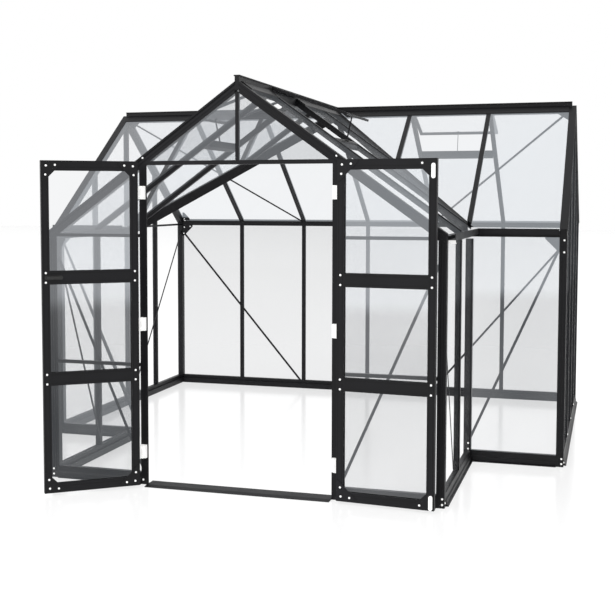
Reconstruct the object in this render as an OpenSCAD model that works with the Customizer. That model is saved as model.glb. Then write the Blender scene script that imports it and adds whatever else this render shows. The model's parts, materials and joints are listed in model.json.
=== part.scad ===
// Glass greenhouse with a T-shaped plan: a wide main house with its ridge along X,
// and a porch of the same span in front of it, with its ridge along Y and two
// hinged glass doors in its gable. Aluminium glazing bars, 4 mm glass.
// The origin is on the ground in the middle of the doorway. Z is up, and the
// porch faces -Y.

/* [Layout] */
// Pitch of the glazing bars
bay = 620; // [500:10:760]
// Bays across the span of both roofs
span_bays = 4; // [4:2:6]
// Bays of the main house on each side of the porch
side_bays = 1; // [1:1:3]
// Bays of the porch in front of the main house
porch_bays = 2; // [1:1:4]

/* [Heights] */
// Top of the roof bars at the wall's outer face
eave_h = 1605; // [1300:5:1950]
// Top of the roof bars if they met over the ridge
apex_h = 2522; // [2420:2:3100]
// Top of the header over the doors
header_h = 2040; // [1960:5:2100]
// Middle of the lower transom in the sidelights
transom_h = 761; // [500:1:1000]

/* [Frame] */
// Distance of the walls' outer face from the grid lines
wall_out = 35; // [28:1:40]
// Width of a corner post, across both faces
post_w = 50; // [42:1:66]
// Height of the base rails
sill_h = 76; // [40:1:110]
// How far the base rail's foot reaches out past the posts
sill_lip = 17; // [8:1:30]
// Width of a glazing bar
bar_w = 34; // [26:1:40]
// Width of the bar in the middle of the porch gable
centre_bar_w = 22; // [20:1:34]
// Depth of a glazing bar
bar_d = 38; // [30:1:50]
// Width of a door jamb
jamb_w = 48; // [36:1:60]
// Thickness of the jambs' face and of their webs
jamb_t = 8; // [5:1:12]
// Depth of the verge bars, square to the roof
verge_d = 57; // [45:1:70]
// Depth of the valley beams, measured plumb
valley_d = 78; // [60:1:90]
// Width of the valley beams
valley_w = 40; // [30:1:60]
// Thickness of a pane
glass_t = 4; // [3:0.5:6]
// Gap between a pane's edge and the metal beside it
glass_gap = 1; // [0.5:0.5:2]

/* [Ridge and eaves] */
// Width of the ridge beam's upright web
ridge_w = 28; // [22:1:36]
// How far the ridge's wings reach down over the glass, measured level
wing_reach = 80; // [50:1:100]
// Height of the ridge's top over the roof bars' apex
cap_rise = 30; // [20:1:45]
// Drop of the ridge beam's body under the apex
ridge_drop = 60; // [50:1:90]
// How far the gutter stands out from the wall
gutter_out = 42; // [25:1:60]
// Height of the gutter's outer lip
gutter_h = 38; // [20:1:45]
// Drop of the eave beam under the roof bars
eave_drop = 56; // [46:1:80]

/* [Doors] */
// Height of the leaves over the ground
leaf_foot = 14; // [14:1:40]
// How far the leaves' top laps over the header
leaf_lap = 21; // [10:1:25]
// Distance of each hinge pin from the jamb's inner edge
hinge_inset = 24; // [20:1:30]
// Distance of a leaf's edge from its hinge pin
pin_gap = 23; // [20:0.5:26]
// Height of a hinge
hinge_h = 82; // [60:1:100]
// Thickness of a leaf
leaf_t = 32; // [24:1:40]
// Gap between the closed leaves' plates and the jambs
leaf_gap = 5; // [5:0.5:8]
// Thickness of the leaves' corner plates
plate_t = 3; // [2:0.5:4]
// Width of a leaf's stiles
stile_w = 46; // [36:1:60]
// Height of a leaf's top and bottom rails
rail_h = 58; // [40:1:70]
// Height of a leaf's middle rails
mid_rail_h = 78; // [50:1:90]
// Middle of the lower middle rail
mid_rail_low = 714; // [600:1:800]
// Middle of the upper middle rail
mid_rail_high = 1331; // [1200:1:1450]
// Leg of the plates over the leaves' corners
leaf_plate_leg = 124; // [90:1:140]
// Opening of the left leaf at rest, in degrees
left_open = 142; // [90:1:160]
// Opening of the right leaf at rest, in degrees
right_open = 175; // [90:1:176]

/* [Roof vents] */
// Opening of the roof vents, in degrees
vent_open = 16; // [8:1:25]
// Length of a vent down the slope
vent_l = 540; // [400:10:700]
// Width of a vent's frame
vent_frame = 24; // [18:1:32]
// Thickness of a vent's frame
vent_t = 16; // [12:1:20]
// Distance of the bar under a vent's lower end from the ridge line
vent_sill = 453; // [350:1:500]

/* [Braces and plates] */
// Width of a flat brace
brace_w = 18; // [12:1:25]
// Thickness of a flat brace
brace_t = 3; // [2:0.5:4]
// Leg of a triangular corner plate
gusset_leg = 95; // [60:1:130]

/* [Hidden] */

frame_black = [0.13, 0.13, 0.14];
glass_tint = [0.80, 0.87, 0.90, 0.45];
white_nylon = [0.92, 0.92, 0.90];

// Wall lines: the grid runs through the middle of the corner posts.
main_bays = span_bays + 2 * side_bays;
out = wall_out;
// The posts' inner side, measured inwards from the grid line.
post_in = post_w - out;
x_porch = span_bays / 2 * bay;
x_main = x_porch + side_bays * bay;
y_main = porch_bays * bay;
y_back = y_main + span_bays * bay;
y_ridge = (y_main + y_back) / 2;

// Roof planes: run is measured level from the ridge line to the outer face.
run = x_porch + out;
roof_fall = (apex_h - eave_h) / run;
roof_pitch = atan(roof_fall);
function roof_z(d) = apex_h - d * roof_fall;
function plumb(depth) = depth / cos(roof_pitch);
under_verge = plumb(verge_d);
post_top = eave_h - under_verge;

// Glazing bar: [width, depth where the layer starts, depth where it ends],
// measured inwards from the outer face.
gasket_d = 1;
glass_in = 7;
lap = 5;
neck_0 = glass_in - gasket_d;
neck_1 = glass_in + glass_t + gasket_d;
function bar_layers(w) = [
    [w, 0, neck_0],
    [w - 2 * lap, neck_0 - 1, neck_1 + 1],
    [w, neck_1, neck_1 + 10],
    [w - 8, neck_1 + 9, bar_d]
];
edge = bar_w / 2 - lap + glass_gap;
centre_edge = centre_bar_w / 2 - lap + glass_gap;

// The verge bars and the eaves' ends line up with the posts' inner sides.
verge_in = post_in;
eave_in = 10;
eave_under = eave_h - eave_drop;
// Rafters and panes run out to pane_end, over the eave beam's flat top.
pane_end = run - 3;
eave_top = roof_z(pane_end) - plumb(neck_1 + 1);
// The bars' inner face, measured outwards from the wall line.
bar_in = out - bar_d;

// Bays, counted from 0, that hold a roof vent: on the porch slopes from the
// front, and on the main house's rear slope from its left end.
porch_vent_bay = 1;
back_vent_bay = main_bays - 2;
sill_bar_w = 24;

// ---- helpers -------------------------------------------------------------

// Mirrors the children to the other side of the middle plane.
module both_sides() {
    children();
    mirror([1, 0, 0]) children();
}

// A box between two opposite corners.
module block(low, high) {
    translate(low) cube(high - low);
}

// An upright glazing bar at (x, y); turn 0 puts its outer face towards -Y.
module upright_bar(x, y, turn, z0, z1, w = bar_w) {
    translate([x, y, z0])
        rotate([0, 0, turn])
            linear_extrude(z1 - z0)
                for (layer = bar_layers(w))
                    translate([-layer[0] / 2, -out + layer[1]])
                        square([layer[0], layer[2] - layer[1]]);
}

// Everything under a gable roof: the ridge is along Y at x = 0, y0 to y1.
module under_roof(drop, y0, y1) {
    translate([0, y1, 0])
        rotate([90, 0, 0])
            linear_extrude(y1 - y0)
                polygon([
                    [-run - 200, -10], [run + 200, -10],
                    [run + 200, roof_z(run + 200) - drop],
                    [0, apex_h - drop],
                    [-run - 200, roof_z(run + 200) - drop]
                ]);
}

// Puts the porch's frame (ridge along Y, x across) onto the main house:
// the porch's +X side turns to the front slope, its Y runs along the ridge.
module on_main_house() {
    translate([0, y_ridge, 0]) rotate([0, 0, -90]) children();
}

// A slab of one roof slope, on the +X side of a ridge along Y.
module slope_slab(d0, d1, top, bottom, y0, y1) {
    translate([0, y1, 0])
        rotate([90, 0, 0])
            linear_extrude(y1 - y0)
                polygon([
                    [d0, roof_z(d0) - plumb(top)],
                    [d1, roof_z(d1) - plumb(top)],
                    [d1, roof_z(d1) - plumb(bottom)],
                    [d0, roof_z(d0) - plumb(bottom)]
                ]);
}

// One rafter down the +X slope, in the middle of y, its foot cut level where it
// sits on the eave beam.
module rafter(y) {
    intersection() {
        for (layer = bar_layers(bar_w))
            slope_slab(ridge_w / 2, pane_end, layer[1], layer[2],
                       y - layer[0] / 2, y + layer[0] / 2);
        block([0, y - bar_w, eave_top], [run, y + bar_w, 2 * apex_h]);
    }
}

// ---- base ----------------------------------------------------------------

// Base rail along +X from x0 to x1, its outer side towards -Y.
module base_rail(x0, x1) {
    translate([x0, 0, 0])
        rotate([90, 0, 90])
            linear_extrude(x1 - x0)
                polygon([
                    [-out - sill_lip, 0], [post_in, 0], [post_in, sill_h * 0.6],
                    [-bar_in, sill_h * 0.6], [-bar_in, sill_h],
                    [-out + 2, sill_h], [-out + 2, sill_h * 0.55],
                    [-out - 5, sill_h * 0.45], [-out - 5, 12],
                    [-out - sill_lip, 6]
                ]);
}

module base_rails() {
    color(frame_black) {
        translate([0, y_back, 0])
            rotate([0, 0, 180]) base_rail(-x_main + post_in, x_main - post_in);
        both_sides() {
            base_rail(jamb_x + jamb_w / 2, x_porch - post_in);
            intersection() {
                translate([x_porch, 0, 0])
                    rotate([0, 0, 90]) base_rail(post_in, y_main - out);
                mitre_prism(1);
            }
            intersection() {
                translate([0, y_main, 0]) base_rail(x_porch + out, x_main - post_in);
                mitre_prism(-1);
            }
            translate([x_main, 0, 0])
                rotate([0, 0, 90]) base_rail(y_main + post_in, y_back - post_in);
        }
    }
}

threshold_front = 100;
threshold_h = 9;

module door_threshold() {
    color(frame_black)
        translate([-opening_x, 0, 0])
            rotate([90, 0, 90])
                linear_extrude(2 * opening_x)
                    polygon([
                        [-threshold_front, 0], [out, 0], [out, threshold_h],
                        [-out - 25, threshold_h], [-threshold_front, 3]
                    ]);
}

// ---- posts and wall bars ---------------------------------------------------

jamb_x = bay;
opening_x = jamb_x - jamb_w / 2;

// Corner post with two grooves down each face. Its outer faces are towards -X
// and -Y, out from the grid lines through the origin.
module post_stock(z1) {
    groove = 4;
    linear_extrude(z1)
        difference() {
            translate([-out, -out]) square(post_w);
            for (at = [post_w / 3, 2 * post_w / 3]) {
                translate([-out + at - groove / 2, -out - 1]) square([groove, groove + 1]);
                translate([-out - 1, -out + at - groove / 2]) square([groove + 1, groove]);
            }
        }
}

// The post of a gable's -X corner, cut to the verge bar over it.
module gable_post() {
    intersection() {
        translate([-x_porch, 0, 0]) post_stock(eave_h + 2 * post_w);
        under_roof(under_verge, -out - 1, post_in + 1);
    }
}

module corner_posts() {
    color(frame_black)
        both_sides() {
            gable_post();
            // Inner corner, where the porch meets the main house.
            translate([x_porch - post_in, y_main - out, 0]) cube([post_w, post_w, post_top]);
            on_main_house() translate([0, x_main, 0])
                mirror([0, 1, 0]) both_sides() gable_post();
        }
}

module door_jambs() {
    color(frame_black)
        intersection() {
            both_sides() {
                block([jamb_x - jamb_w / 2, -out, 0], [jamb_x + jamb_w / 2, -out + jamb_t, apex_h]);
                block([jamb_x, -out + jamb_t - 1, 0], [jamb_x + 2 * jamb_t, out - 15, apex_h]);
            }
            under_roof(under_verge, -out - 1, out + 1);
        }
}

header_t = 25;

module door_header() {
    color(frame_black)
        intersection() {
            block([-opening_x, -out, header_h - header_t], [opening_x, out - 25, header_h]);
            under_roof(under_verge, -out - 1, out + 1);
        }
}

module gable_centre_bar() {
    color(frame_black)
        intersection() {
            upright_bar(0, 0, 0, header_h, apex_h, centre_bar_w);
            under_roof(under_verge, -out - 1, out + 1);
        }
}

transom_t = 20;
eave_transom_z = eave_h - 29;

module sidelight_transoms() {
    color(frame_black)
        both_sides()
            intersection() {
                for (z = [transom_h, eave_transom_z])
                    block([jamb_x + jamb_w / 2, -out, z - transom_t / 2],
                          [x_porch - post_in, -out + 30, z + transom_t / 2]);
                under_roof(under_verge, -out - 1, out + 1);
            }
}

module back_wall_bars() {
    color(frame_black)
        for (i = [1 : main_bays - 1])
            upright_bar(-x_main + i * bay, y_back, 180, sill_h, eave_under);
}

module gable_wall_bars() {
    color(frame_black)
        both_sides()
            on_main_house()
                intersection() {
                    for (i = [1 : span_bays - 1])
                        upright_bar(-x_porch + i * bay, x_main, 180, sill_h, apex_h);
                    under_roof(under_verge, x_main - out - 1, x_main + out + 1);
                }
}

module porch_side_bars() {
    color(frame_black)
        both_sides()
            for (i = [1 : porch_bays - 1])
                upright_bar(x_porch, i * bay, 90, sill_h, eave_under);
}

// ---- eaves, ridges and verges ----------------------------------------------

// Eave beam with its gutter, along Y from y0 to y1 beside a wall at x = 0,
// its outer side towards +X.
module eave_beam(y0, y1) {
    translate([0, y1, 0])
        rotate([90, 0, 0])
            linear_extrude(y1 - y0)
                polygon([
                    [-eave_in, eave_under], [out - 6, eave_under],
                    [out - 6, eave_h - gutter_h],
                    [out + gutter_out, eave_h - gutter_h],
                    [out + gutter_out, eave_h + 2],
                    [out + gutter_out - 3, eave_h + 2],
                    [out + gutter_out - 3, eave_h - gutter_h + 3],
                    [out, eave_h - gutter_h + 3],
                    [out, eave_top], [-eave_in, eave_top]
                ]);
}

// Keeps what lies in front of the mitre at the inner corners.
mitre_gap = 0.5;
module mitre_prism(side) {
    reach = 2 * x_main;
    c = y_ridge - side * mitre_gap;
    translate([0, 0, -10])
        linear_extrude(2 * apex_h)
            polygon([
                [c - y_main + reach, y_main - reach],
                [c - y_main - reach, y_main + reach],
                [c - y_main - reach - side * reach, y_main + reach - side * reach],
                [c - y_main + reach - side * reach, y_main - reach - side * reach]
            ]);
}

module eave_beams() {
    color(frame_black) {
        both_sides() {
            intersection() {
                translate([x_porch, 0, 0]) eave_beam(verge_in, y_main + post_w);
                mitre_prism(1);
            }
            intersection() {
                translate([0, y_main, 0])
                    rotate([0, 0, -90]) eave_beam(x_porch - post_w, x_main - verge_in);
                mitre_prism(-1);
            }
        }
        translate([0, y_back, 0])
            rotate([0, 0, 90]) eave_beam(-x_main + verge_in, x_main - verge_in);
    }
}

// Ridge beam along Y from y0 to y1 at x = 0: an upright web with a lipped top.
lip_h = 7;
lip_out = 6;
wing_t = 6;

module ridge_web(y0, y1) {
    hw = ridge_w / 2;
    top = apex_h + cap_rise;
    translate([0, y1, 0])
        rotate([90, 0, 0])
            linear_extrude(y1 - y0)
                polygon([
                    [-hw, apex_h - ridge_drop], [hw, apex_h - ridge_drop],
                    [hw, top - lip_h], [hw + lip_out, top - lip_h],
                    [hw + lip_out, top - 2], [hw + lip_out - 2, top],
                    [-hw - lip_out + 2, top], [-hw - lip_out, top - 2],
                    [-hw - lip_out, top - lip_h], [-hw, top - lip_h]
                ]);
}

// The wing over the top edge of the glass, on the ridge's +X side.
module ridge_wing(y0, y1) {
    hw = ridge_w / 2 - 1;
    translate([0, y1, 0])
        rotate([90, 0, 0])
            linear_extrude(y1 - y0)
                polygon([
                    [hw, roof_z(hw)], [wing_reach, roof_z(wing_reach)],
                    [wing_reach, roof_z(wing_reach) + wing_t],
                    [wing_reach - 3, roof_z(wing_reach - 3) + wing_t + 2],
                    [hw, roof_z(hw) + wing_t + 2]
                ]);
}

// Two stretches of wing that leave out the bay of a roof vent.
module wing_beside_vent(y0, y1, vent_y) {
    ridge_wing(y0, vent_y);
    ridge_wing(vent_y + bay, y1);
}

module porch_ridge() {
    color(frame_black) {
        ridge_web(-out, y_ridge - ridge_w / 2 - lip_out - 1);
        both_sides()
            difference() {
                wing_beside_vent(verge_in, y_ridge - ridge_w, porch_vent_bay * bay);
                plan_prism([
                    [0, y_ridge - valley_half], [2 * run, y_ridge - valley_half - 2 * run],
                    [2 * run, y_ridge], [0, y_ridge]
                ]);
            }
    }
}

module main_ridge() {
    color(frame_black) {
        on_main_house() {
            ridge_web(-x_main - out + ridge_short, x_main + out - ridge_short);
            mirror([1, 0, 0])
                wing_beside_vent(-x_main + verge_in, x_main - verge_in,
                                 -x_main + back_vent_bay * bay);
        }
        difference() {
            on_main_house() ridge_wing(-x_main + verge_in, x_main - verge_in);
            plan_prism([
                [-valley_half, y_ridge], [valley_half, y_ridge],
                [valley_half + run, y_ridge - run], [-valley_half - run, y_ridge - run]
            ]);
        }
    }
}

// A verge bar's ribs: [outer face beyond the gable wall, start depth, end depth].
verge_ribs = [[4, 0, 12], [-3, 11, 23], [0, 22, 34], [-3, 33, 46], [0, 45, verge_d]];

// A verge bar down the +X slope, its outer side towards -Y.
module verge_bar() {
    for (rib = verge_ribs)
        slope_slab(ridge_w / 2, run, rib[1], rib[2], -out - rib[0], verge_in);
}

// The verge bar's tip in front of a ridge that ends inside the gable.
ridge_short = 28;
module verge_tip() {
    for (rib = verge_ribs)
        slope_slab(0, ridge_w / 2, rib[1], rib[2], -out - rib[0], -out + ridge_short);
}

module verge_bars() {
    color(frame_black)
        both_sides() {
            verge_bar();
            on_main_house()
                translate([0, x_main, 0])
                    mirror([0, 1, 0]) both_sides() {
                        verge_bar();
                        verge_tip();
                    }
        }
}

// Area inside the valley's sides, between the ridge bodies and the eave beams.
valley_half = valley_w / 2 * sqrt(2);
eave_x = x_porch - eave_in;

module valley_beams() {
    length = run * sqrt(2);
    color(frame_black)
        both_sides()
            intersection() {
                translate([0, y_ridge, 0])
                    rotate([0, 0, -45])
                        rotate([90, 0, 0])
                            linear_extrude(valley_w, center = true)
                                polygon([
                                    [0, apex_h], [length, eave_h],
                                    [length, eave_h - valley_d], [0, apex_h - valley_d]
                                ]);
                block([ridge_w / 2, y_main + eave_in, 0],
                      [eave_x, y_ridge - ridge_w / 2, 2 * apex_h]);
            }
}

// ---- rafters ---------------------------------------------------------------

// Plan of the porch's right-hand slope, inside its frame.
porch_slope_plan = [
    [ridge_w / 2, verge_in], [pane_end, verge_in],
    [pane_end, y_ridge - valley_half - pane_end],
    [ridge_w / 2, y_ridge - valley_half - ridge_w / 2]
];
// Plan of the right-hand part of the main house's front slope.
front_slope_plan = [
    [ridge_w / 2 + valley_half, y_ridge - ridge_w / 2],
    [pane_end + valley_half, y_ridge - pane_end],
    [x_main - verge_in, y_ridge - pane_end],
    [x_main - verge_in, y_ridge - ridge_w / 2]
];

module plan_prism(points) {
    linear_extrude(2 * apex_h) polygon(points);
}

module porch_rafters() {
    color(frame_black)
        both_sides()
            intersection() {
                for (i = [1 : porch_bays + span_bays / 2 - 1])
                    rafter(i * bay);
                plan_prism(porch_slope_plan);
            }
}

module main_rafters() {
    color(frame_black) {
        both_sides()
            intersection() {
                on_main_house()
                    for (i = [1 : span_bays / 2 + side_bays - 1])
                        rafter(i * bay);
                plan_prism(front_slope_plan);
            }
        on_main_house()
            mirror([1, 0, 0])
                for (i = [1 : main_bays - 1])
                    rafter(-x_main + i * bay);
    }
}

// ---- glass -----------------------------------------------------------------

// A wall pane between x0 and x1, its outer face towards -Y.
module wall_pane(x0, x1, z0, z1) {
    block([x0, -out + glass_in, z0], [x1, -out + glass_in + glass_t, z1]);
}

module back_wall_glass() {
    color(glass_tint)
        translate([0, y_back, 0])
            rotate([0, 0, 180])
                for (i = [0 : main_bays - 1])
                    wall_pane(-x_main + i * bay + (i == 0 ? post_in : edge),
                              -x_main + (i + 1) * bay - (i == main_bays - 1 ? post_in : edge),
                              sill_h, eave_under);
}

module gable_wall_glass() {
    color(glass_tint)
        both_sides()
            on_main_house()
                translate([0, x_main, 0])
                    mirror([0, 1, 0])
                        intersection() {
                            for (i = [0 : span_bays - 1])
                                wall_pane(-x_porch + i * bay + (i == 0 ? post_in : edge),
                                          -x_porch + (i + 1) * bay
                                              - (i == span_bays - 1 ? post_in : edge),
                                          sill_h, apex_h);
                            under_roof(under_verge, -out - 1, out + 1);
                        }
}

module front_wall_glass() {
    color(glass_tint)
        both_sides()
            translate([0, y_main, 0])
                for (i = [0 : side_bays - 1])
                    wall_pane(x_porch + i * bay + (i == 0 ? out : edge),
                              x_porch + (i + 1) * bay - (i == side_bays - 1 ? post_in : edge),
                              sill_h, eave_under);
}

module porch_side_glass() {
    color(glass_tint)
        both_sides()
            translate([x_porch, 0, 0])
                rotate([0, 0, 90])
                    for (i = [0 : porch_bays - 1])
                        wall_pane(i * bay + (i == 0 ? post_in : edge),
                                  (i + 1) * bay - (i == porch_bays - 1 ? out : edge),
                                  sill_h, eave_under);
}

module sidelight_glass() {
    x0 = jamb_x + jamb_w / 2;
    x1 = x_porch - post_in;
    h = transom_t / 2;
    color(glass_tint)
        both_sides() {
            wall_pane(x0, x1, sill_h, transom_h - h);
            wall_pane(x0, x1, transom_h + h, eave_transom_z - h);
            intersection() {
                wall_pane(x0, x1, eave_transom_z + h, apex_h);
                under_roof(under_verge, -out - 1, out + 1);
            }
        }
}

module porch_gable_glass() {
    color(glass_tint)
        intersection() {
            both_sides() wall_pane(centre_edge, opening_x, header_h, apex_h);
            under_roof(under_verge, -out - 1, out + 1);
        }
}

// Panes of the +X slope between rafters at y0 + i * bay. The pane in the vent's
// bay starts at the bar under the vent.
module roof_panes(y0, panes, vent_bay) {
    for (i = [0 : panes - 1])
        slope_slab(i == vent_bay ? vent_sill + sill_bar_w / 2 : ridge_w / 2, pane_end,
                   glass_in, glass_in + glass_t,
                   y0 + i * bay + edge, y0 + (i + 1) * bay - edge);
}

module porch_roof_glass() {
    color(glass_tint)
        both_sides()
            intersection() {
                roof_panes(0, porch_bays + span_bays / 2, porch_vent_bay);
                plan_prism(porch_slope_plan);
            }
}

module main_roof_glass() {
    color(glass_tint) {
        both_sides()
            intersection() {
                on_main_house() roof_panes(0, span_bays / 2 + side_bays, -1);
                plan_prism(front_slope_plan);
            }
        on_main_house()
            mirror([1, 0, 0])
                intersection() {
                    roof_panes(-x_main, main_bays, back_vent_bay);
                    block([0, -x_main + verge_in, 0], [run, x_main - verge_in, 2 * apex_h]);
                }
    }
}

// ---- roof vents --------------------------------------------------------------

// The vents' hinge line, beside the ridge web and over the wings.
vent_x = ridge_w / 2 + 8;
vent_z = apex_h + 4;
vent_fall = tan(roof_pitch - vent_open);
vent_lap = 15;
function vent_under(x) = vent_z - (x - vent_x) * vent_fall;

// Puts a vent drawn flat, x down the slope from its hinge, over the bay at y.
module lift_vent(y) {
    translate([vent_x, y - vent_lap, vent_z])
        rotate([0, roof_pitch - vent_open, 0]) children();
}

vent_w = bay + 2 * vent_lap;

module vent_frame_at(y) {
    lift_vent(y)
        difference() {
            cube([vent_l, vent_w, vent_t]);
            block([vent_frame, vent_frame, -1],
                  [vent_l - vent_frame, vent_w - vent_frame, vent_t + 1]);
        }
    block([ridge_w / 2, y + bar_w, vent_z - 3], [vent_x + 10, y + bay - bar_w, vent_z + 1]);
}

module vent_glass_at(y) {
    lift_vent(y)
        block([vent_frame, vent_frame, vent_t / 2 - glass_t / 2],
              [vent_l - vent_frame, vent_w - vent_frame, vent_t / 2 + glass_t / 2]);
}

module vent_sill_at(y) {
    slope_slab(vent_sill - sill_bar_w / 2, vent_sill + sill_bar_w / 2, 0, bar_d,
               y + bar_w / 2, y + bay - bar_w / 2);
}

stay_w = 8;
module vent_stay_at(y) {
    foot = vent_sill - stay_w / 2;
    head = vent_sill + 32;
    translate([0, y + bay / 2 + 2, 0])
        rotate([90, 0, 0])
            linear_extrude(4)
                polygon([
                    [foot, roof_z(foot)], [foot + stay_w, roof_z(foot + stay_w)],
                    [head + stay_w, vent_under(head + stay_w)], [head, vent_under(head)]
                ]);
}

module vent_sills() {
    color(frame_black) {
        both_sides() vent_sill_at(porch_vent_bay * bay);
        on_main_house() mirror([1, 0, 0]) vent_sill_at(-x_main + back_vent_bay * bay);
    }
}

module vent_frames() {
    color(frame_black) {
        both_sides() vent_frame_at(porch_vent_bay * bay);
        on_main_house() mirror([1, 0, 0]) vent_frame_at(-x_main + back_vent_bay * bay);
    }
}

module vent_glass() {
    color(glass_tint) {
        both_sides() vent_glass_at(porch_vent_bay * bay);
        on_main_house() mirror([1, 0, 0]) vent_glass_at(-x_main + back_vent_bay * bay);
    }
}

module vent_stays() {
    color(frame_black) {
        both_sides() vent_stay_at(porch_vent_bay * bay);
        on_main_house() mirror([1, 0, 0]) vent_stay_at(-x_main + back_vent_bay * bay);
    }
}

// ---- braces and plates -------------------------------------------------------

// A flat bar from a to b, in plan, brace_t thick.
module flat_bar(a, b) {
    length = norm(b - a);
    translate(a)
        rotate(atan2(b[1] - a[1], b[0] - a[0]))
            translate([0, -brace_w / 2]) square([length, brace_w]);
}

// A flat piece drawn in x and z, on the inner side of a wall whose outer side is
// towards -Y; layer 0 touches the bars and layer -1 lies between them.
module in_wall(layer) {
    translate([0, (layer + 1) * brace_t - bar_in, 0])
        rotate([90, 0, 0]) linear_extrude(brace_t) children();
}

// The part of a wall from x0 to x1 between the base rail and the eave beam.
module clear_wall(x0, x1) {
    translate([x0, sill_h]) square([x1 - x0, eave_under - sill_h]);
}

module wall_brace(a, b, x0, x1) {
    in_wall(0) intersection() {
        flat_bar(a, b);
        clear_wall(x0, x1);
    }
}

brace_top = eave_under - 60;
tie_z = eave_h - 48;

module wall_braces() {
    color(frame_black)
        both_sides() {
            // Rear wall, over two bays.
            translate([0, y_back, 0])
                rotate([0, 0, 180])
                    wall_brace([x_main, brace_top + 20], [x_main - 2 * bay, sill_h - 30],
                               0, x_main - post_in);
            // Front wall of the main house.
            translate([0, y_main, 0])
                wall_brace([x_main, brace_top + 20], [x_porch + 15, 1.7 * sill_h],
                           x_porch + out, x_main - post_in);
            // Sidelights.
            wall_brace([jamb_x, sill_h - 45], [x_porch + 30, brace_top + 36],
                       jamb_x + 2 * jamb_t, x_porch - post_in);
            // Porch sides.
            translate([x_porch, 0, 0])
                rotate([0, 0, 90])
                    wall_brace([0, brace_top], [bay, sill_h], post_in, bay);
            // Gables of the main house: a level tie and two braces on each.
            on_main_house()
                translate([0, x_main, 0])
                    mirror([0, 1, 0]) {
                        in_wall(0)
                            translate([-x_porch + post_in, tie_z - brace_w / 2])
                                square([2 * (x_porch - post_in), brace_w]);
                        both_sides()
                            wall_brace([x_porch, brace_top + 20], [0, sill_h - 60],
                                       bar_w, x_porch - post_in);
                    }
        }
}

// Puts a plan drawn on the +X slope, x measured down the slope from the ridge
// line, on the underside of the rafters.
module under_slope(layer) {
    translate([0, 0, apex_h])
        rotate([0, roof_pitch, 0])
            translate([0, 0, -bar_d - (layer + 1) * brace_t])
                linear_extrude(brace_t) children();
}

module roof_braces() {
    slope_l = run / cos(roof_pitch);
    color(frame_black)
        on_main_house()
            mirror([1, 0, 0])
                for (side = [0, 1])
                    mirror([0, side, 0])
                        intersection() {
                            under_slope(0)
                                flat_bar([0, x_main], [slope_l, x_main - 2 * bay - 20]);
                            block([ridge_w / 2, 0, 0],
                                  [eave_x, x_main - verge_in, 2 * apex_h]);
                        }
}

// A triangular plate with blunt tips, its right angle at the origin.
module corner_plate(leg) {
    tip = leg / 9;
    polygon([[0, 0], [leg, 0], [leg, tip], [tip, leg], [0, leg]]);
}

// The plate under the eave beam, beside the post whose inner side is at x.
module eave_plate(x) {
    in_wall(-1)
        translate([x, eave_under]) rotate(180) corner_plate(gusset_leg);
}

module corner_gussets() {
    inner_x = x_main - post_in;
    color(frame_black) {
        both_sides() {
            translate([0, y_back, 0]) rotate([0, 0, 180]) eave_plate(inner_x);
            translate([0, y_main, 0]) eave_plate(inner_x);
            translate([x_porch, 0, 0])
                rotate([0, 0, 90]) mirror([1, 0, 0]) eave_plate(-post_in);
        }
        on_main_house()
            mirror([1, 0, 0])
                for (side = [0, 1])
                    mirror([0, side, 0])
                        intersection() {
                            under_slope(-1)
                                translate([0, x_main - verge_in])
                                    mirror([0, 1, 0]) corner_plate(gusset_leg + ridge_w);
                            block([ridge_w / 2, 0, 0],
                                  [eave_x, x_main - verge_in, 2 * apex_h]);
                        }
    }
}

// White straps under the front ends of the porch's gutters.
module gutter_hooks() {
    strap_t = 3;
    drop = 20;
    low = eave_h - gutter_h;
    color(white_nylon)
        both_sides()
            translate([x_porch + out, verge_in + strap_t, low])
                rotate([90, 0, 90])
                    linear_extrude(gutter_out)
                        polygon([
                            [0, 0], [strap_t, 0], [strap_t, strap_t - drop],
                            [2 * drop, strap_t - drop], [2 * drop, -drop], [0, -drop]
                        ]);
}

// ---- doors -----------------------------------------------------------------

hinge_x = opening_x + hinge_inset;
leaf_back = -out - leaf_gap - plate_t;
hinge_y = leaf_back - leaf_t + 2;
meet_gap = 3.5;
leaf_w = hinge_x - pin_gap - meet_gap;
leaf_top = header_h - header_t + leaf_lap;

// Places a leaf drawn closed: x from the hinge pin, y from the pin's plane.
module hang_leaf(side, angle) {
    translate([side * hinge_x, hinge_y, 0])
        rotate([0, 0, side * angle])
            mirror([side > 0 ? 1 : 0, 0, 0]) children();
}

leaf_y0 = leaf_back - leaf_t - hinge_y;
leaf_y1 = leaf_back - hinge_y;

module leaf_stiles() {
    for (x = [pin_gap, pin_gap + leaf_w - stile_w])
        block([x, leaf_y0, leaf_foot], [x + stile_w, leaf_y1, leaf_top]);
}

module leaf_rails() {
    x0 = pin_gap + stile_w;
    x1 = pin_gap + leaf_w - stile_w;
    block([x0, leaf_y0, leaf_foot], [x1, leaf_y1, leaf_foot + rail_h]);
    block([x0, leaf_y0, leaf_top - rail_h], [x1, leaf_y1, leaf_top]);
    for (z = [mid_rail_low, mid_rail_high])
        block([x0, leaf_y0, z - mid_rail_h / 2], [x1, leaf_y1, z + mid_rail_h / 2]);
}

module leaf_glass() {
    x0 = pin_gap + stile_w;
    x1 = pin_gap + leaf_w - stile_w;
    y0 = (leaf_y0 + leaf_y1 - glass_t) / 2;
    stops = [
        [leaf_foot + rail_h, mid_rail_low - mid_rail_h / 2],
        [mid_rail_low + mid_rail_h / 2, mid_rail_high - mid_rail_h / 2],
        [mid_rail_high + mid_rail_h / 2, leaf_top - rail_h]
    ];
    for (z = stops)
        block([x0, y0, z[0]], [x1, y0 + glass_t, z[1]]);
}

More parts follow.
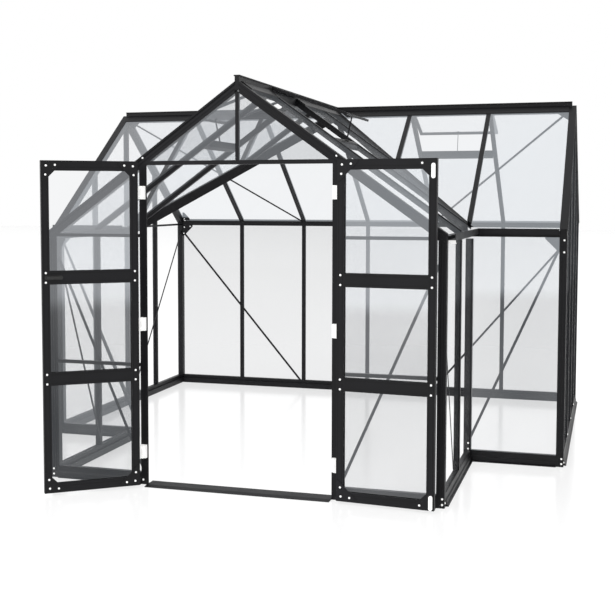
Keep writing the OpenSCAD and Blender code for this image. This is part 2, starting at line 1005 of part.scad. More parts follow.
// Triangular plates over the leaf's corners, on its inner face.
module leaf_plates() {
    inset = 3;
    x0 = pin_gap + inset;
    x1 = pin_gap + leaf_w - inset;
    for (end = [0, 1], top = [0, 1])
        translate([end ? x1 : x0, leaf_y1 + plate_t, top ? leaf_top - inset : leaf_foot + inset])
            mirror([end, 0, 0])
                mirror([0, 0, top])
                    rotate([90, 0, 0])
                        linear_extrude(plate_t) corner_plate(leaf_plate_leg);
}

hinge_heights = [215, 1023, 1844];
pin_r = 3;
knuckle_r = 7;
knuckle_h = hinge_h / 2 - 3;
hinge_block_y = knuckle_r + 3;

// The leaf's half of each hinge: a knuckle, and a taller flap on the leaf's edge.
module leaf_knuckles() {
    for (z = hinge_heights)
        translate([0, 0, z])
            difference() {
                union() {
                    translate([0, 0, -knuckle_h / 2]) cylinder(r = knuckle_r, h = knuckle_h);
                    block([0, -knuckle_r + 1, -knuckle_h / 2], [knuckle_r + 1, 4, knuckle_h / 2]);
                    block([knuckle_r, -knuckle_r + 1, -hinge_h / 2], [pin_gap, 4, hinge_h / 2]);
                }
                translate([0, 0, -hinge_h]) cylinder(r = pin_r + 0.5, h = 2 * hinge_h);
            }
}

// The jamb's half of each hinge: a block, two arms and the pin between them.
module jamb_hinges() {
    arm = (hinge_h - knuckle_h) / 2 - 2;
    color(white_nylon)
        both_sides()
            for (z = hinge_heights)
                translate([hinge_x, hinge_y, z - hinge_h / 2]) {
                    cylinder(r = pin_r, h = hinge_h);
                    for (foot = [0, hinge_h - arm])
                        block([-pin_r, 0, foot], [pin_r, hinge_block_y + 1, foot + arm]);
                    block([5 - pin_gap, hinge_block_y, 0],
                          [opening_x + jamb_w - hinge_x, -out - hinge_y, hinge_h]);
                }
}

// Oblong handle on the inner face, at the free end of the upper middle rail.
module left_door_handle() {
    plate = [110, 26, 4];
    grip = [86, 14, 8];
    stand_off = 12;
    color([0.05, 0.05, 0.05])
        hang_leaf(-1, left_open)
            translate([pin_gap + leaf_w - 16 - plate[0] / 2, leaf_y1, mid_rail_high])
                rotate([-90, 0, 0]) {
                    oblong(plate);
                    for (x = [-25, 25])
                        translate([x, 0, 0]) cylinder(r = 4, h = stand_off + 1);
                    translate([0, 0, stand_off]) oblong(grip);
                }
}

// A bar with round ends: [length, width, thickness], lying on z = 0.
module oblong(dims) {
    half = dims[0] / 2 - dims[1] / 2;
    translate([-half, -dims[1] / 2, 0]) cube([2 * half, dims[1], dims[2]]);
    for (x = [-half, half])
        translate([x, 0, 0]) cylinder(r = dims[1] / 2, h = dims[2]);
}

// Sliding bolts at the free stile's top and bottom, on the corner plates.
module right_door_bolts() {
    bolt = [86, 22, 10];
    x = pin_gap + leaf_w - 8 - bolt[1] / 2;
    ends = [leaf_foot + 4 + bolt[0] / 2, header_h - header_t - 7 - bolt[0] / 2];
    color(white_nylon)
        hang_leaf(1, right_open)
            for (z = ends)
                translate([x, leaf_y1 + plate_t, z])
                    rotate([-90, 0, 0]) rotate([0, 0, 90]) oblong(bolt);
}

module left_door_stiles() { color(frame_black) hang_leaf(-1, left_open) leaf_stiles(); }
module left_door_rails() { color(frame_black) hang_leaf(-1, left_open) leaf_rails(); }
module left_door_glass() { color(glass_tint) hang_leaf(-1, left_open) leaf_glass(); }
module left_door_gussets() { color(frame_black) hang_leaf(-1, left_open) leaf_plates(); }
module left_door_hinges() { color(white_nylon) hang_leaf(-1, left_open) leaf_knuckles(); }
module right_door_stiles() { color(frame_black) hang_leaf(1, right_open) leaf_stiles(); }
module right_door_rails() { color(frame_black) hang_leaf(1, right_open) leaf_rails(); }
module right_door_glass() { color(glass_tint) hang_leaf(1, right_open) leaf_glass(); }
module right_door_gussets() { color(frame_black) hang_leaf(1, right_open) leaf_plates(); }
module right_door_hinges() { color(white_nylon) hang_leaf(1, right_open) leaf_knuckles(); }

base_rails();
door_threshold();
corner_posts();
door_jambs();
door_header();
gable_centre_bar();
sidelight_transoms();
back_wall_bars();
gable_wall_bars();
porch_side_bars();
eave_beams();
main_ridge();
porch_ridge();
verge_bars();
valley_beams();
main_rafters();
porch_rafters();
back_wall_glass();
gable_wall_glass();
front_wall_glass();
porch_side_glass();
sidelight_glass();
porch_gable_glass();
main_roof_glass();
porch_roof_glass();
vent_sills();
vent_frames();
vent_glass();
vent_stays();
wall_braces();
roof_braces();
corner_gussets();
gutter_hooks();
jamb_hinges();
left_door_stiles();
left_door_rails();
left_door_glass();
left_door_gussets();
left_door_hinges();
left_door_handle();
right_door_stiles();
right_door_rails();
right_door_glass();
right_door_gussets();
right_door_hinges();
right_door_bolts();
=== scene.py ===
# %% [markdown]
# # A glass greenhouse
# This lesson dresses a greenhouse whose metal and glass are already modelled as exact
# solids. The first step loads those solids as a fixed frame. They are never moved, so
# every piece made here takes its place from their measured boxes. The lesson adds the
# finishes, the small fittings and seals, a floor, soft light and a camera.

# %% Load the fixed frame
import json
import math
import bpy
import bmesh
from mathutils import Matrix, Vector


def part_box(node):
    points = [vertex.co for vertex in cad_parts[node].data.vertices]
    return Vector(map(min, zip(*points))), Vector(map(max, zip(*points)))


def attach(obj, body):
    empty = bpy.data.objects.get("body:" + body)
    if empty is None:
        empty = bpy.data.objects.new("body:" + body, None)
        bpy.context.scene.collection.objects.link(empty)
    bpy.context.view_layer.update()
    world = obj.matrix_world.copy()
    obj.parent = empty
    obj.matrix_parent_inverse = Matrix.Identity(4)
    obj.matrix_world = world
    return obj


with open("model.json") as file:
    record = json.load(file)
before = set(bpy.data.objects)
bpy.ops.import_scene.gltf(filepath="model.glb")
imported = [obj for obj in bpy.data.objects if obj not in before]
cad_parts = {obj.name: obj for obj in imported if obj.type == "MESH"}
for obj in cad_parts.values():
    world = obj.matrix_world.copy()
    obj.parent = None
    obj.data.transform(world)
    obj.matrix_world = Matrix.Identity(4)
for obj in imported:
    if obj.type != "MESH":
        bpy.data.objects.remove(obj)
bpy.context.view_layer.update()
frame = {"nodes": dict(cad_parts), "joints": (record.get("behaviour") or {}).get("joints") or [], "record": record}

# %% [markdown]
# ## Writing shader maths as sums
# A material in Blender is a graph of nodes. Wiring each Math node by hand hides what is
# being worked out. A small class can wrap a socket and overload the operators instead,
# so that `1 - mask * 0.5` adds its own nodes. Colours stay out of Math nodes, which turn
# them grey: they are blended by a Mix node in `blend`.

# %% A socket that can be added and multiplied
class Tone:
    """The output of a shader node, which takes part in sums."""

    def __init__(self, finish, socket):
        self.finish = finish
        self.socket = socket

    def math(self, operation, *values):
        return self.finish.node("ShaderNodeMath", {"operation": operation},
                                dict(enumerate(values)))

    def __add__(self, other):
        return self.math("ADD", self, other)

    def __sub__(self, other):
        return self.math("SUBTRACT", self, other)

    def __rsub__(self, other):
        return self.math("SUBTRACT", other, self)

    def __mul__(self, other):
        return self.math("MULTIPLY", self, other)

    __radd__ = __add__
    __rmul__ = __mul__

    def ramp(self, low, high):
        """0 below low, 1 above high, and smooth between them."""
        return self.finish.node(
            "ShaderNodeMapRange", {"interpolation_type": "SMOOTHSTEP"},
            {"Value": self, "From Min": low, "From Max": high})


# %% A finish: one material and the method that adds any node
class Finish:
    """A material under construction, with a Principled shader at its end."""

    def __init__(self, name, **constants):
        self.material = bpy.data.materials.new(name)
        self.material.use_nodes = True
        self.tree = self.material.node_tree
        self.tree.nodes.clear()
        self.shader = self.tree.nodes.new("ShaderNodeBsdfPrincipled")
        output = self.tree.nodes.new("ShaderNodeOutputMaterial")
        self.tree.links.new(self.shader.outputs[0], output.inputs["Surface"])
        self.set(**constants)

    def node(self, kind, settings, sockets, output=0):
        """Adds a node: its settings come first, then the values or links of its sockets."""
        made = self.tree.nodes.new(kind)
        for name, value in settings.items():
            setattr(made, name, value)
        for key, value in sockets.items():
            self.feed(made.inputs[key], value)
        return Tone(self, made.outputs[output])

    def feed(self, socket, value):
        if isinstance(value, Tone):
            self.tree.links.new(value.socket, socket)
        else:
            socket.default_value = value

    def set(self, **inputs):
        """Feeds the Principled shader: base_color stands for its Base Color socket."""
        for name, value in inputs.items():
            self.feed(self.shader.inputs[name.replace("_", " ").title()
                                         .replace("Ior", "IOR")], value)

    def place(self):
        """The point on the object, in metres, before any pose moves it."""
        return self.node("ShaderNodeTexCoord", {}, {}, "Object")

    def noise(self, scale, detail=2.0, roughness=0.5):
        return self.node("ShaderNodeTexNoise", {},
                         {"Vector": self.place(), "Scale": scale, "Detail": detail,
                          "Roughness": roughness})

    def blend(self, amount, first, second):
        """A colour between two colours."""
        return self.node("ShaderNodeMix", {"data_type": "RGBA"},
                         {0: amount, 6: first, 7: second}, 2)

    def bump(self, height, depth, strength=1.0):
        return self.node("ShaderNodeBump", {},
                         {"Strength": strength, "Distance": depth, "Height": height})


def grey(value, blue=0.0):
    """A grey with a touch of blue, as a colour with its alpha."""
    return (value, value, value + blue, 1.0)


print("helpers ready: Tone, Finish")

# %% [markdown]
# ## Powder coat
# The bars are aluminium extrusions with an anthracite powder coat. Powder melts into a
# skin with a very fine orange peel, which breaks up the reflections, and rain leaves a
# faint dust film that varies over tens of centimetres. A single black would look like
# a drawing. Here two noises at the two real scales drive the tone, the roughness and
# a shallow bump.

# %% Powder coat on the frame
dust_scale, peel_scale = 2.2, 900.0


def powder_coat(name, tone, roughness):
    coat = Finish(name, specular_ior_level=0.22)
    film = coat.noise(dust_scale, 4.0, 0.6).ramp(0.35, 0.75)
    grain = coat.noise(peel_scale, 1.0)
    coat.set(base_color=coat.blend(film, grey(tone, 0.001), grey(tone * 1.7, 0.002)),
             roughness=film * 0.08 + grain * 0.05 + roughness,
             normal=coat.bump(grain, 0.00012, 0.6))
    return coat.material


frame_coat = powder_coat("anthracite_powder_coat", 0.0045, 0.40)
plate_coat = powder_coat("black_coated_plate", 0.0052, 0.46)
print("made", frame_coat.name, "and", plate_coat.name)

# %% [markdown]
# ## Glass
# Each pane is 4 mm toughened glass. It is clear, with a thin bright veil of reflected
# sky over whatever stands behind it, which is a painted reflection. True refraction needs
# many bounces through dozens of panes, so a pane is a see-through surface that glows with
# the veil's own tone: its alpha says how much of the view the veil covers. Low down the
# painted reflection is of the floor and the veil thins out, and the clouds of the sky vary
# it a little. Each wall and slope faces another part of the sky, so each gets a painted
# reflection of its own, with its own tone and share.

# %% Panes with a veil of reflected sky
# Below the first height the painted reflection is of the floor, and above the second it is of the sky.
floor_ends, sky_starts = 1.10, 1.22


def pane_glass(name, high, low):
    """Glass with a painted reflection, a veil given above and below: its tone and the share it covers."""
    pane = Finish(name, base_color=grey(0.0), roughness=0.05, ior=1.45,
                  specular_ior_level=0.10, emission_strength=1.0)
    height = pane.node("ShaderNodeSeparateXYZ", {}, {"Vector": pane.place()}, "Z")
    up = height.ramp(floor_ends, sky_starts)
    cloud = pane.noise(0.9, 2.0).ramp(0.3, 0.7)
    # A ray goes through two faces of every pane, so each face carries half the veil.
    share = [1.0 - math.sqrt(1.0 - part[1]) for part in (high, low)]
    veil = up * (share[0] - share[1]) + share[1]
    tones = [(part[0] * 0.93, part[0], part[0] * 1.07, 1.0) for part in (low, high)]
    tint = pane.blend(up, *tones)
    # The emission is the painted reflection: the veil's tone, shifted by height and by the cloud noise.
    pane.set(alpha=veil * (cloud * 0.10 + 0.95),
             emission_color=pane.blend(cloud * 0.5, tint, grey(high[0], 0.02)))
    return pane.material


# Each pane's painted reflection veil, above and below: its tone, and the share of the view it covers.
painted_reflection_veils = {
    "sidelight_glass": ((0.66, 0.24), (0.24, 0.18)),
    "front_wall_glass": ((0.80, 0.34), (0.34, 0.26)),
    "left_door_glass": ((0.66, 0.24), (0.24, 0.18)),
    "right_door_glass": ((0.76, 0.28), (0.22, 0.26)),
    "porch_gable_glass": ((0.34, 0.38), (0.34, 0.38)),
    "porch_side_glass": ((0.50, 0.08), (0.20, 0.06)),
    "gable_wall_glass": ((0.50, 0.08), (0.20, 0.06)),
    "back_wall_glass": ((0.28, 0.32), (0.24, 0.32)),
    "main_roof_glass": ((0.70, 0.36), (0.70, 0.36)),
    "porch_roof_glass": ((0.60, 0.10), (0.60, 0.10)),
    "vent_glass": ((0.60, 0.16), (0.60, 0.16)),
}
pane_coats = {name: pane_glass(name + "_veil", *veil) for name, veil in painted_reflection_veils.items()}
print("made", len(pane_coats), "kinds of pane")

# %% [markdown]
# ## Moulded parts
# Hinges, sliding bolts and gutter hooks are white nylon: matt, slightly translucent, with
# a fine moulded texture. A faint glow is painted light: it lifts their shaded sides, and
# stands for the daylight that soaks through them.
# The handle is textured black plastic.

# %% White nylon and black plastic
def moulded(name, color, roughness, sheen_scale, painted_glow=0.0):
    # The emission is painted light: an even glow that lifts the shaded sides.
    plastic = Finish(name, specular_ior_level=0.45, emission_strength=painted_glow,
                     emission_color=color)
    texture = plastic.noise(sheen_scale, 2.0)
    soft = plastic.noise(12.0, 2.0)
    darker = tuple(c * 0.9 for c in color[:3]) + (1.0,)
    plastic.set(base_color=plastic.blend(soft, color, darker),
                roughness=texture * 0.12 + roughness,
                normal=plastic.bump(texture, 0.0002, 0.4))
    return plastic.material


# White nylon gets a painted glow of 0.30 that lifts its shaded sides, and black plastic gets none.
white_nylon = moulded("white_nylon", (0.90, 0.90, 0.89, 1.0), 0.42, 700.0, 0.30)
black_plastic = moulded("black_plastic", (0.018, 0.018, 0.018, 1.0), 0.5, 900.0)

finishes = {"frame": frame_coat, "zinc_black": plate_coat, "white_nylon": white_nylon,
            "black_plastic": black_plastic}
parts = frame["record"]["subparts"]
for part in parts:
    solid = frame["nodes"][part["node"]]
    solid.data.materials.clear()
    coat = pane_coats.get(part["node"]) or finishes[part["material_slot"]]
    solid.data.materials.append(coat)
print("finishes on", len(parts), "solids")

# %% [markdown]
# ## Fittings in one mesh each
# A greenhouse like this is held by rows of equal bolts, and its panes lie in strips of
# seal. Building each row into one mesh keeps the scene light. A small workshop class
# collects shapes in a bmesh and turns them into one piece that rides a body. Each shape
# is set by its own frame: a point, the direction it faces and, for strips, the way
# along.

# %% A workshop for small fittings
def facing(spot, out, along=(0, 0, 1)):
    """A matrix whose z looks along out and whose x runs along the given way."""
    z = Vector(out).normalized()
    x = (Vector(along) - z * z.dot(Vector(along))).normalized()
    y = z.cross(x)
    turn = Matrix((x, y, z)).transposed().to_4x4()
    return Matrix.Translation(Vector(spot)) @ turn


class Workshop:
    """Gathers shapes and makes one piece of them."""

    def __init__(self):
        self.stock = bmesh.new()

    def turned(self, where, profile, sides=16):
        """A turned shape: profile lists radius and height up the axis."""
        rings = []
        for radius, height in profile:
            rings.append([self.stock.verts.new(
                where @ Vector((radius * math.cos(a), radius * math.sin(a), height)))
                for a in (2 * math.pi * k / sides for k in range(sides))])
        for low, high in zip(rings, rings[1:]):
            for k in range(sides):
                n = (k + 1) % sides
                self.stock.faces.new((low[k], low[n], high[n], high[k]))
        self.stock.faces.new(rings[-1])
        self.stock.faces.new(list(reversed(rings[0])))

    def strip(self, where, outline, length):
        """A profile of points across, drawn out along x from 0 to length."""
        ends = [[self.stock.verts.new(where @ Vector((x, y, z))) for y, z in outline]
                for x in (0.0, length)]
        count = len(outline)
        for k in range(count):
            n = (k + 1) % count
            self.stock.faces.new((ends[0][k], ends[0][n], ends[1][n], ends[1][k]))
        self.stock.faces.new(list(reversed(ends[0])))
        self.stock.faces.new(ends[1])

    def piece(self, name, coat, body):
        bmesh.ops.recalc_face_normals(self.stock, faces=self.stock.faces)
        mesh = bpy.data.meshes.new(name)
        self.stock.to_mesh(mesh)
        self.stock.free()
        mesh.materials.append(coat)
        made = bpy.data.objects.new(name, mesh)
        bpy.context.collection.objects.link(made)
        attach(made, body)
        print(name, "on", body, "with", len(mesh.polygons), "faces")


# %% [markdown]
# ## Where things are
# The fittings have to sit on the solids to the millimetre. The few widths that a box
# can't give, such as that of one post out of a row, are written down once here.

# %% Measures taken from the solids
def span(node):
    low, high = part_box(node)
    return Vector(low), Vector(high)


posts_low, posts_high = span("corner_posts")
header_high = span("door_header")[1]
beams_low = span("eave_beams")[0]
jambs_high = span("door_jambs")[1]
pins = {joint["child"]: joint for joint in frame["joints"]}
front = posts_low.y
post_width = 0.050
pane_pitch = 0.62
eave_beam_height = 0.056
hinge_heights = (0.215, 1.023, 1.844)
print("front face at", round(front, 3), "posts", round(posts_low.x, 3),
      round(posts_high.x, 3))

# %% [markdown]
# ## White nylon bolt caps
# Every joint in the frame is a bolt through a slot in the extrusion, hidden under a
# white nylon cap 13 mm wide. A cap is a shallow dome on a short collar, so it is a
# turned profile of five rings.

# %% Bolt caps
def cap(shop, spot, out, radius=0.0065):
    profile = ((radius, 0.0), (radius, 0.0016), (radius * 0.86, 0.0034),
               (radius * 0.5, 0.0046), (radius * 0.12, 0.005))
    shop.turned(facing(spot, out), profile)


def leaf_point(body, x, y, z):
    """A point on a leaf as it stands open: x from its pin, y inwards of it, z up.
    A leaf is closed at the low end of its joint's range, so that end says how far the
    leaf has turned."""
    joint = pins[body]
    side = -1 if body == "left_door" else 1
    angle = -math.radians(joint["range_deg"][0]) * side
    across = Vector((-side * x, y, 0.0))
    pin = Vector((joint["pos_m"][0], joint["pos_m"][1], 0.0))
    return pin + Matrix.Rotation(angle, 3, "Z") @ across + Vector((0.0, 0.0, z))


def leaf_way(body, x, y):
    """A direction on an open leaf: across it for x, out of its inner face for y."""
    return leaf_point(body, x, y, 0.0) - leaf_point(body, 0.0, 0.0, 0.0)


leaf_low_z, leaf_high_z = (end.z for end in span("left_door_stiles"))
leaf_start, leaf_wide = 0.023, 0.5935
leaf_outer, leaf_inner = -0.002, 0.030
leaf_stile, leaf_rail = 0.046, 0.058
mid_rail, mid_rail_heights = 0.078, (0.714, 1.331)
plate_thick, plate_inset = 0.003, 0.003
# Bolts on a corner plate, from the plate's own corner.
plate_bolts = ((0.028, 0.028), (0.082, 0.024), (0.024, 0.082))
for body in ("left_door", "right_door"):
    shop = Workshop()
    out = leaf_way(body, 0.0, 1.0)
    for end in (0, 1):
        corner_x = leaf_start + (leaf_wide - plate_inset if end else plate_inset)
        inwards = -1 if end else 1
        for corner_z, up in ((leaf_low_z + plate_inset, 1), (leaf_high_z - plate_inset, -1)):
            for across, along in plate_bolts:
                # The sliding bolts cover the two bolts at the right leaf's free edge.
                if body == "right_door" and end and across < 0.05:
                    continue
                cap(shop, leaf_point(body, corner_x + inwards * across,
                                     leaf_inner + plate_thick, corner_z + up * along), out)
        stile_middle = leaf_start + (leaf_wide - leaf_stile / 2 if end else leaf_stile / 2)
        for middle in mid_rail_heights:
            for offset in (-0.029, 0.029):
                cap(shop, leaf_point(body, stile_middle, leaf_inner, middle + offset), out)
    shop.piece(body + "_bolt_caps", white_nylon, body)

# %% [markdown]
# ## Bolts of the walls
# The posts are bolted to the base rails near their feet, and the main wall's outer
# posts to the eave near their tops. The gable bars' feet are bolted to the rails too.
# Caps are set out from the posts' own faces, so one loop over the two sides of the
# house covers them all.

# %% Wall bolts
shop = Workshop()
glass_set_back, grid_set_back = 0.007, 0.035
porch_x = span("porch_side_bars")[1].x
main_y = span("front_wall_glass")[0].y - glass_set_back
back_y = posts_high.y
right = posts_high.x
# A cap's middle stands this far in from the edge of a post or a jamb, or of a bar.
post_inset, bar_inset = 0.014, 0.018
rail_height, bar_foot = 0.030, 0.092
foot_heights, wall_foot_heights, eave_heights = (0.022, 0.056), (0.085, 0.125), (1.45, 1.53)
for side in (-1, 1):
    for x, y in ((porch_x, front), (right, main_y)):
        for z in foot_heights:
            cap(shop, (side * (x - post_inset), y, z), (0, -1, 0))
        cap(shop, (side * x, y + post_inset, rail_height), (side, 0, 0))
    for z in wall_foot_heights:
        cap(shop, (side * (porch_x - bar_inset), main_y, z), (0, -1, 0))
    cap(shop, (side * right, back_y - post_inset, rail_height), (side, 0, 0))
    for z in eave_heights:
        cap(shop, (side * (right - bar_inset), main_y, z), (0, -1, 0))
    for k in (1, 2, 3):
        bar_y = main_y + grid_set_back + pane_pitch * k
        cap(shop, (side * right, bar_y, bar_foot), (side, 0, 0))
    # The header's ends on the jambs, and the jambs' feet.
    cap(shop, (side * (jambs_high.x - 0.024), front, header_high.z + 0.02), (0, -1, 0))
    cap(shop, (side * (jambs_high.x - post_inset), front, rail_height), (0, -1, 0))
shop.piece("wall_bolt_caps", white_nylon, "root")

# %% [markdown]
# ## Seams and seals
# The leaves are made from extrusions with screw channels, seen as fine dark lines along
# each stile and rail, and each of their panes lies in a black rubber seal. Both are thin
# strips laid along the leaf's own directions. The seal has a rounded lip, and the seam is
# a shallow dark fillet.

# %% Rubber
def rubber_coat():
    rubber = Finish("black_rubber", specular_ior_level=0.2)
    grain = rubber.noise(600.0, 2.0)
    rubber.set(base_color=rubber.blend(grain, grey(0.002), grey(0.005)),
               roughness=grain * 0.15 + 0.6)
    return rubber.material


rubber = rubber_coat()
glass_plane = 0.014
lip = ((-0.001, -0.0042), (0.0012, -0.0042), (0.0030, -0.0026), (0.0032, 0.0026),
       (0.0012, 0.0042), (-0.001, 0.0042))
seam = ((-0.0011, 0.0), (-0.0006, 0.0004), (0.0006, 0.0004), (0.0011, 0.0))


def leaf_frame(body, x, y, z, way):
    """Strips along a leaf's width or height: their z points out of its inner face."""
    along = leaf_way(body, 1.0, 0.0) if way == "across" else Vector((0, 0, 1))
    return facing(leaf_point(body, x, y, z), leaf_way(body, 0.0, 1.0), along)


pane_left, pane_right = leaf_start + leaf_stile, leaf_start + leaf_wide - leaf_stile
pane_width = pane_right - pane_left
# The panes' low and high edges, from the bottom rail to the top rail.
half = mid_rail / 2
stops = [leaf_low_z + leaf_rail]
for middle in mid_rail_heights:
    stops += [middle - half, middle + half]
stops.append(leaf_high_z - leaf_rail)
pane_edges = list(zip(stops[0::2], stops[1::2]))
seam_inset, seam_margin = 0.010, 0.008
faces = ((leaf_inner, 1), (leaf_outer, -1))


def leaf_seals(body):
    """Seals on the four edges of each pane, with their lips towards its middle."""
    shop = Workshop()
    for low, high in pane_edges:
        for z, turn in ((low, 1), (high, -1)):
            where = leaf_frame(body, pane_left, glass_plane, z, "across")
            up = 1 if where.col[1].xyz.z > 0 else -1
            shop.strip(where, [(turn * up * p, q) for p, q in lip], pane_width)
        for x, turn in ((pane_left, 1), (pane_right, -1)):
            where = leaf_frame(body, x, glass_plane, low, "up")
            inward = 1 if where.col[1].xyz.dot(leaf_way(body, 1.0, 0.0)) > 0 else -1
            shop.strip(where, [(turn * inward * p, q) for p, q in lip], high - low)
    shop.piece(body + "_seals", rubber, body)


def leaf_seams(body):
    """Fine lines along both faces of the stiles and rails."""
    shop = Workshop()
    tall = leaf_high_z - leaf_low_z - 2 * seam_margin
    edges = [leaf_start + seam_inset, pane_left - seam_inset,
             pane_right + seam_inset, pane_right + leaf_stile - seam_inset]
    rows = [middle + side * (half - 0.013) for middle in mid_rail_heights
            for side in (-1, 1)]
    rows += [leaf_low_z + 0.040, leaf_high_z - 0.040]
    for x in edges:
        for face, flip in faces:
            shop.strip(leaf_frame(body, x, face, leaf_low_z + seam_margin, "up"),
                       [(p, flip * q) for p, q in seam], tall)
    for z in rows:
        for face, flip in faces:
            shop.strip(leaf_frame(body, pane_left, face, z, "across"),
                       [(p, flip * q) for p, q in seam], pane_width)
    shop.piece(body + "_seams", rubber, body)


for body in ("left_door", "right_door"):
    leaf_seals(body)
    leaf_seams(body)

# %% [markdown]
# ## Corner plates, end caps and stay knobs
# Where the rear eave meets the posts, plates with cut corners are bolted over the joint
# above and below the beam. The gutters are closed by flat caps, and each vent stay turns
# on a round knob. These three are small turned or cut shapes from the same workshop.

# %% Joint plates
def plate_outline(leg, tip=0.016):
    return [(0.0, 0.0), (leg, 0.0), (leg, tip), (tip, leg), (0.0, leg)]


def flat_plate(shop, where, outline, thick):
    """A flat plate with its outline in the matrix's x and y, thick along z."""
    low = [shop.stock.verts.new(where @ Vector((x, y, 0.0))) for x, y in outline]
    high = [shop.stock.verts.new(where @ Vector((x, y, thick))) for x, y in outline]
    shop.stock.faces.new(list(reversed(low)))
    shop.stock.faces.new(high)
    for k in range(len(outline)):
        n = (k + 1) % len(outline)
        shop.stock.faces.new((low[k], low[n], high[n], high[k]))


shop = Workshop()
bolts = Workshop()
# The bolts stand this far in from the post, and up from the beam's underside.
plate_bolt_spots = ((0.020, -0.020), (0.080, -0.012), (0.014, -0.080), (0.018, 0.062))
# The gutter's section, out from the wall's face and up from the top of the beam.
cap_outline = [(0.0, 0.003), (0.0, -0.040), (0.010, -0.048), (0.040, -0.036), (0.040, 0.003)]
eave_low, eave_high = beams_low.z, beams_low.z + eave_beam_height
rear_in = span("back_wall_bars")[0].y
for side in (-1, 1):
    x = side * (right - post_width)
    inner_face = rear_in - 0.0062
    for z, up in ((eave_low + 0.002, -1), (eave_high - 0.008, 1)):
        # x of the outline runs inwards along the wall, y up or down the corner.
        where = Matrix.Translation(Vector((x, inner_face, z)))
        where = where @ Matrix(((-side, 0, 0, 0), (0, 0, 1, 0), (0, up, 0, 0), (0, 0, 0, 1)))
        flat_plate(shop, where, plate_outline(0.105 if up < 0 else 0.075), plate_thick)
    for dx, dz in plate_bolt_spots:
        cap(bolts, (x - side * dx, inner_face, eave_low + dz), (0, -1, 0), 0.006)
    # Gutter end caps at the gables' ends.
    for y in (main_y, back_y):
        out = -1 if y == main_y else 1
        gable_face = side * (right - 0.0005)
        where = Matrix.Translation(Vector((gable_face, y, eave_high)))
        where = where @ Matrix(((0, 0, -side, 0), (out, 0, 0, 0), (0, 1, 0, 0), (0, 0, 0, 1)))
        flat_plate(shop, where, cap_outline, plate_thick)
shop.piece("joint_plates", plate_coat, "root")
bolts.piece("joint_bolts", white_nylon, "root")

# %% Knobs on the roof vents' stays
shop = Workshop()
stays = frame["nodes"]["vent_stays"]
# Corners of one stay fall in the same square of this grid, seen from above.
grid = 0.9
top_knob, foot_knob = 0.008, 0.013
groups = {}
for vert in stays.data.vertices:
    spot = stays.matrix_world @ vert.co
    groups.setdefault((round(spot.x / grid), round(spot.y / grid)), []).append(spot)
for spots in groups.values():
    top = max(spots, key=lambda p: p.z)
    foot = min(spots, key=lambda p: p.z)
    for spot, radius in ((top, top_knob), (foot, foot_knob)):
        shop.turned(facing(spot + Vector((0, 0, -0.006)), (0, 0, 1), (1, 0, 0)),
                    ((radius * 0.7, 0.0), (radius, 0.003), (radius, 0.011),
                     (radius * 0.7, 0.014), (radius * 0.3, 0.016)), 20)
shop.piece("stay_knobs", black_plastic, "root")
print("stay groups:", len(groups))

# %% [markdown]
# ## Hinge screws
# Each hinge block is screwed to its jamb above and below the arms. The heads are low
# domes, turned like the bolt caps but smaller.

# %% Screws on the hinges
shop = Workshop()
block_face = span("jamb_hinges")[0].y + 0.013
block_middle = 0.634
screw_profile = ((0.0045, 0.0), (0.0045, 0.0006), (0.0028, 0.0018), (0.0012, 0.0020))
for side in (-1, 1):
    for z in hinge_heights:
        for dz in (-0.026, 0.026):
            shop.turned(facing((side * block_middle, block_face, z + dz), (0, -1, 0)),
                        screw_profile, 12)
shop.piece("hinge_screws", white_nylon, "root")

# %% [markdown]
# ## Floor, light and camera
# The house stands on a plain white floor with a soft gloss. A big pale sky gives even
# light from all round, and one large soft lamp at the left shapes it a little. The
# camera stands 1.8 m up, a tall person's eye height, to the right of the doors.

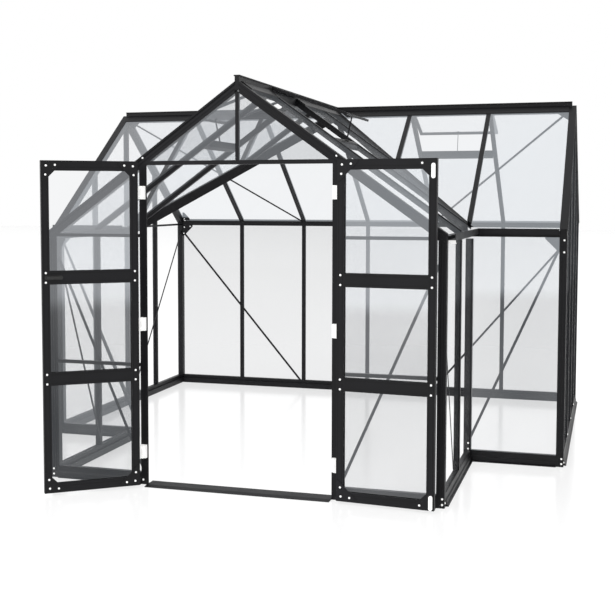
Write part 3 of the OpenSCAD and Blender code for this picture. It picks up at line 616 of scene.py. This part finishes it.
# %% A pale floor
def studio_floor():
    mesh = bpy.data.meshes.new("studio_floor")
    plan = bmesh.new()
    reach = 60.0
    corners = [plan.verts.new((x, y, -0.0008)) for x, y in
               ((-reach, -reach), (reach, -reach), (reach, reach), (-reach, reach))]
    plan.faces.new(corners)
    plan.to_mesh(mesh)
    plan.free()
    floor = bpy.data.objects.new("studio_floor", mesh)
    bpy.context.collection.objects.link(floor)
    # The paint glows by what its gloss does not already mirror, so that it stays one
    # even white from the front to the far edge, and only dark things show in it.
    paint = Finish("white_floor", roughness=0.16, specular_ior_level=0.25,
                   emission_strength=1.0)
    mirror = paint.node("ShaderNodeFresnel", {}, {"IOR": 1.33})
    paint.set(base_color=paint.blend(paint.noise(0.4, 2.0), grey(0.22), grey(0.24)),
              emission_color=paint.blend(1 - mirror * 0.82, grey(0.0), grey(0.92)))
    mesh.materials.append(paint.material)
    print("floor", round(2 * reach), "m wide")


studio_floor()

# %% Soft light
def soft_lamp(name, spot, aim, size, power):
    lamp = bpy.data.lights.new(name, "AREA")
    lamp.shape = "SQUARE"
    lamp.size = size
    lamp.energy = power
    stand = bpy.data.objects.new(name, lamp)
    stand.location = spot
    stand.rotation_euler = (Vector(aim) - Vector(spot)).to_track_quat("-Z", "Y").to_euler()
    bpy.context.collection.objects.link(stand)


sky = bpy.data.worlds.new("pale_sky")
sky.use_nodes = True
sky.node_tree.nodes["Background"].inputs["Color"].default_value = (1.0, 1.0, 1.0, 1.0)
sky.node_tree.nodes["Background"].inputs["Strength"].default_value = 1.0
bpy.context.scene.world = sky
soft_lamp("high_left", (-6.0, -7.0, 8.0), (0.0, 1.5, 1.0), 6.0, 500.0)
print("sky and lamp set")

# %% Camera
pitch_down, turn_left = 0.0657, 0.2996
camera_data = bpy.data.cameras.new("camera")
camera_data.lens = 64.89
camera_data.sensor_width = 36.0
camera_data.shift_x = 0.0607
camera_data.shift_y = -0.0582
camera_data.clip_end = 200.0
camera = bpy.data.objects.new("camera", camera_data)
camera.location = (2.1821, -6.4171, 1.8061)
camera.rotation_euler = (math.pi / 2 - pitch_down, 0.0, turn_left)
bpy.context.collection.objects.link(camera)
bpy.context.scene.camera = camera
bpy.context.scene.view_settings.view_transform = "Standard"
# Some looks go through more faces of glass than the eight that a ray may pass unless told
# otherwise, and what lies behind them would then turn dark.
bpy.context.scene.cycles.transparent_max_bounces = 32
print("camera at", tuple(camera.location))
